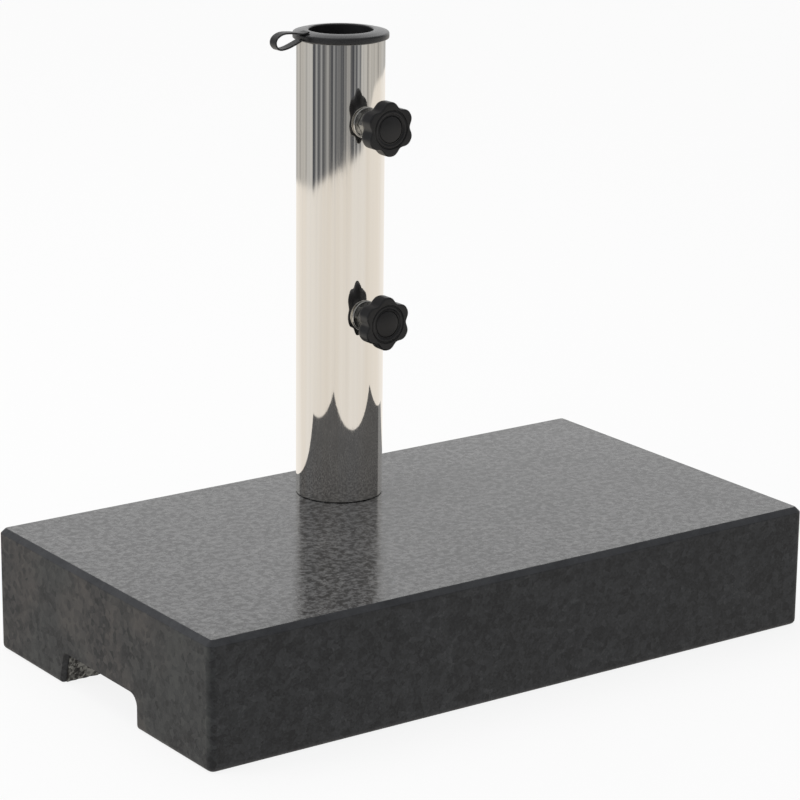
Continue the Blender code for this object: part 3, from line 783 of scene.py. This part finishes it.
def makeWasher(name, material, place, thickness, radius):
    edge = thickness * 0.3
    inner = clampSizes["bore"]
    outline = [(inner, 0.0), (radius - edge, 0.0)] + arc(radius - edge, edge, edge, 270, 360, 4)[1:]
    outline += arc(radius - edge, thickness - edge, edge, 0, 90, 4) + [(inner, thickness)]
    washer = makeObject(name + "ClampWasher", turned(outline, 96), place)
    finishPiece(washer, material, "base", name + "_clamp_washer", 40.0)


def threadedRod(radius, low, high):
    sizes = clampSizes
    pitch, root, steps = sizes["pitch"], radius - sizes["threadDepth"], sizes["threadSteps"]
    turns = math.ceil((high - low) / pitch) + 2
    shape = bmesh.new()
    outline = [(root, 0.0), (radius, 0.38), (radius, 0.5), (root, 0.88), (root, 1.0)]  # heights in pitches
    corners = [shape.verts.new((out, 0.0, low - pitch + up * pitch)) for out, up in outline]
    sides = [shape.edges.new(pair) for pair in zip(corners, corners[1:])]
    bmesh.ops.spin(
        shape, geom=corners + sides, cent=(0, 0, 0), axis=(0, 0, 1), dvec=(0, 0, pitch / steps),
        angle=math.tau * turns, steps=steps * turns, use_merge=False,
    )
    bmesh.ops.remove_doubles(shape, verts=shape.verts[:], dist=1e-6)
    for height, inner, outer in ((low, True, False), (high, False, True)):
        bmesh.ops.bisect_plane(
            shape, geom=shape.verts[:] + shape.edges[:] + shape.faces[:], dist=1e-7,
            plane_co=(0, 0, height), plane_no=(0, 0, 1), clear_inner=inner, clear_outer=outer,
        )
        rim = edgesWhere(shape, lambda e: e.is_boundary and abs(e.verts[0].co.z - height) < 1e-6)
        bmesh.ops.holes_fill(shape, edges=rim, sides=0)
    return shape


def makeStud(name, material, place, tip, headLow, headHigh, flats):
    stud = hexPiece(name + "ClampStud", flats, headLow, headHigh, False, True)
    rod = threadedRod(clampSizes["threadRadius"], tip, headLow + 2 * clampSizes["overshoot"])
    carve(stud, makeObject("rod", rod), "UNION")
    stud.data.transform(place)
    finishPiece(stud, material, name + "_screw", name + "_clamp_stud", 30.0)


def makeClamp(name, plated, plastic):
    centre = middle(name + "_clamp_washer")
    outwards = Matrix.Rotation(math.pi / 2, 4, "X")  # local +Z points out of the tube, along -Y

    def at(y):
        return Matrix.Translation((centre.x, y, centre.z)) @ outwards

    low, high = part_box(name + "_clamp_washer")
    makeWasher(name, plated, at(high.y), high.y - low.y, (high.x - low.x) / 2)
    low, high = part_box(name + "_clamp_nut")
    makeNut(name, plated, at(high.y), high.y - low.y, high.z - low.z)
    low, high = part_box(name + "_knob")
    hubEnd, height = high.y, high.y - low.y
    studLow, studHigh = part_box(name + "_clamp_stud")
    headHigh = hubEnd - studLow.y
    headLow = headHigh - clampSizes["headHeight"]
    makeStud(name, plated, at(hubEnd), hubEnd - studHigh.y, headLow, headHigh, studHigh.z - studLow.z)
    makeKnob(name, plastic, at(hubEnd), height, headLow)
    low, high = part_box(name + "_knob_cap")
    makeKnobCap(name, plastic, at(hubEnd), hubEnd - high.y, hubEnd - low.y, (high.x - low.x) / 2)


# for CAD nodes that are shown as they are
def coat(material, *nodes):
    for node in nodes:
        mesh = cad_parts[node].data
        mesh.materials.clear()
        mesh.materials.append(material)


studio = {
    "floor": (0.97, 0.97, 0.97),
    "floorPaint": (0.12, 0.12, 0.12),
    "floorGlow": 0.895,
    "worldGlow": 0.45,
    "backGlow": 1.0,
    "dimGlow": 0.30,
    "wallRadius": 3.6,
    "dimWallHeight": 3.4,
    "backWallHeight": 2.8,
    "backWallFrom": 130.0,  # degrees round from the camera's side
    "azimuth": -35.505,  # 0 looks along +Y
    "elevation": 15.970,
    "distance": 1.95258,
    "aim": (-0.0057, 0.0, 0.15807),
    "roll": 0.581,
    "lens": 140.1,
}
softboxes = {  # place, aim, width, height, watts
    "overheadSoftbox": ((-0.4, 0.5, 2.4), (0.0, 0.0, 0.0), 2.4, 2.4, 30.0),
    "leftSoftbox": ((-2.2, 0.9, 1.5), (0.0, 0.0, 0.2), 1.2, 1.8, 17.0),
}
paintedReflections = {  # painted reflections: glowing colours on a sheet at floor level that only polished metal sees
    "near": (0.915, 0.868, 0.808),
    "nearDull": (0.72, 0.68, 0.63),
    "nearSide": (1.08, 1.03, 0.97),
    "far": (0.61, 0.595, 0.57),
    "farStreak": (0.15, 0.15, 0.155),
    "dark": (0.060, 0.064, 0.074),
    "darkPale": (0.40, 0.40, 0.40),
    "from": -75.4,  # degrees round from the camera's side
    "to": 55.2,
    "starts": 1.455,
    "slant": 0.09,
    "centre": (-0.004, 0.070, 0.0),
}


def stageObject(name, shape, material):
    stage = makeObject(name, shape)
    stage.data.materials.append(material)
    return stage


def glowing(name, paint, glow, colour):
    maker = MaterialMaker(name)
    return maker.finish({
        "Base Color": paint, "Roughness": 0.9, "Specular IOR Level": 0.0,
        "Emission Color": colour, "Emission Strength": glow,
    })


def paintedReflectionMaterial():
    looks = paintedReflections
    # the sheet's glow is painted reflection: bright near the object, dark with pale streaks on the camera's
    # side further out
    maker = MaterialMaker("paintedReflectionSheet")
    facing = math.radians(studio["azimuth"] - 90.0)
    where = maker.place(move=tuple(-part for part in looks["centre"]))
    east, north = maker.part(where, 0), maker.part(where, 1)
    # turned so that 0 degrees is the camera's side and + is to its right
    ahead = east * math.cos(facing) + north * math.sin(facing)
    beside = north * math.cos(facing) - east * math.sin(facing)
    angle = maker.node("ShaderNodeMath", {"operation": "ARCTAN2"}, {0: beside, 1: ahead}) * (180 / math.pi)
    reach = (east * east + north * north) ** 0.5
    line = maker.node("ShaderNodeCombineXYZ", None, {0: angle})
    fine = maker.noise(0.30, 3.0, 0.6, line)
    bands = maker.noise(0.075, 1.0, 0.5, line)
    side = abs(angle).between(60.0, 140.0)
    dulled = bands.between(0.30, 0.70) * 0.16 + fine.between(0.5, 0.8) * 0.05
    glow = maker.mix(dulled, looks["near"], looks["nearDull"])
    glow = maker.mix(side * 0.5, glow, looks["nearSide"])
    streaks = 0.65 * fine.between(0.52, 0.68) + 0.35 * bands.between(0.45, 0.65)
    distant = maker.mix(streaks, looks["far"], looks["farStreak"])
    darkStreaks = 0.30 * fine.between(0.40, 0.65) + 0.85 * bands.between(0.42, 0.62)
    dark = maker.mix(darkStreaks, looks["dark"], looks["darkPale"])
    left, right = looks["from"], looks["to"]
    inside = angle.between(left - 1.0, left + 1.0) * (1 - angle.between(right - 1.0, right + 1.0))
    ramp = maker.node("ShaderNodeMath", {"operation": "MAXIMUM"}, {0: angle, 1: left}) / 60.0
    edge = looks["starts"] + looks["slant"] * ramp + 0.06 * (bands - 0.5)
    edge = edge + 0.35 * angle.between(right, right + 50.0)
    outside = maker.mix(inside, distant, dark)
    colour = maker.mix((reach - edge).between(-0.015, 0.035), glow, outside)
    return maker.finish({
        "Base Color": (0.0, 0.0, 0.0), "Specular IOR Level": 0.0,
        "Emission Color": colour, "Emission Strength": 1.0,
    })


def disc(radius, height):
    shape = bmesh.new()
    lift = Matrix.Translation((0, 0, height))
    bmesh.ops.create_circle(shape, cap_ends=True, segments=64, radius=radius, matrix=lift)
    return shape


def wallSector(radius, start, end, height):
    shape = bmesh.new()
    foot, head = shape.verts.new((radius, 0.0, 0.0)), shape.verts.new((radius, 0.0, height))
    side = shape.edges.new((foot, head))
    turn = Matrix.Rotation(math.radians(start), 3, "Z")
    bmesh.ops.rotate(shape, verts=[foot, head], cent=(0, 0, 0), matrix=turn)
    bmesh.ops.spin(
        shape, geom=[foot, head, side], cent=(0, 0, 0), axis=(0, 0, 1),
        angle=math.radians(end - start), steps=48, use_merge=False,
    )
    return shape


def softbox(name, place, aim, width, height, power):
    data = bpy.data.lights.new(name, "AREA")
    data.shape = "RECTANGLE"
    data.size = width
    data.size_y = height
    data.energy = power
    lamp = bpy.data.objects.new(name, data)
    lamp.location = place
    lamp.rotation_euler = (Vector(aim) - Vector(place)).to_track_quat("-Z", "Y").to_euler()
    lamp.visible_glossy = False
    bpy.context.scene.collection.objects.link(lamp)


def makeStudio():
    floorPaint = glowing("paleFloor", studio["floorPaint"], studio["floorGlow"], studio["floor"])
    floor = stageObject("floor", disc(30.0, 0.0), floorPaint)
    floor.visible_glossy = False
    # seen only in reflections: a glowing sheet that paints the reflections in polished metal
    mirrored = stageObject("paintedReflectionSheet", disc(12.0, 0.001), paintedReflectionMaterial())
    for name in ("visible_camera", "visible_shadow", "visible_diffuse", "visible_transmission"):
        setattr(mirrored, name, False)
    world = bpy.data.worlds.new("studioWorld")
    bpy.context.scene.world = world
    world.use_nodes = True
    background = world.node_tree.nodes["Background"]
    background.inputs["Color"].default_value = (1.0, 1.0, 1.0, 1.0)
    background.inputs["Strength"].default_value = studio["worldGlow"]
    facing = studio["azimuth"] - 90.0  # the camera's own bearing round Z
    turn, radius = studio["backWallFrom"], studio["wallRadius"]
    black = (0.0, 0.0, 0.0)
    dimPaint = glowing("dimWall", black, studio["dimGlow"], (1.0, 1.0, 1.02))
    dimShape = wallSector(radius, facing - turn, facing + turn, studio["dimWallHeight"])
    dim = stageObject("dimWall", dimShape, dimPaint)
    backPaint = glowing("backWall", black, studio["backGlow"], (1.0, 1.0, 1.0))
    backShape = wallSector(radius, facing + turn, facing + 360.0 - turn, studio["backWallHeight"])
    back = stageObject("backWall", backShape, backPaint)
    for wall in (dim, back):
        wall.visible_camera = False
    for name, settings in softboxes.items():
        softbox(name, *settings)
    bpy.context.scene.view_settings.view_transform = "Standard"
    print("made the studio")


def makeCamera():
    data = bpy.data.cameras.new("camera")
    data.sensor_width = 36.0
    data.lens = studio["lens"]
    azimuth, elevation = math.radians(studio["azimuth"]), math.radians(studio["elevation"])
    level = math.cos(elevation)
    back = Vector((math.sin(azimuth) * level, -math.cos(azimuth) * level, math.sin(elevation)))
    camera = bpy.data.objects.new("camera", data)
    look = (-back).to_track_quat("-Z", "Y").to_matrix().to_4x4()
    spot = Vector(studio["aim"]) + back * studio["distance"]
    roll = Matrix.Rotation(math.radians(studio["roll"]), 4, "Z")
    camera.matrix_world = Matrix.Translation(spot) @ look @ roll
    bpy.context.scene.collection.objects.link(camera)
    bpy.context.scene.camera = camera


def main():
    makeCamera()
    makeStudio()
    polished = makePolishedSteel()
    plated = makeZinc()
    knobBlack = makePlastic("knobPlastic")
    makeBlock(makePolishedGranite(), makeSawnGranite(), makeBrokenGranite())
    makeTube(polished)
    makeCollar(makePlastic("collarPlastic"))
    makeStrap(makePlastic("strapPlastic"))
    for name in ("lower", "upper"):
        makeClamp(name, plated, knobBlack)
    coat(plated, "foot_disc", "tube_bolt", "wide_washer", "lock_washer")
    coat(makePlastic("nylon"), "lower_pressure_pad", "upper_pressure_pad")


main()
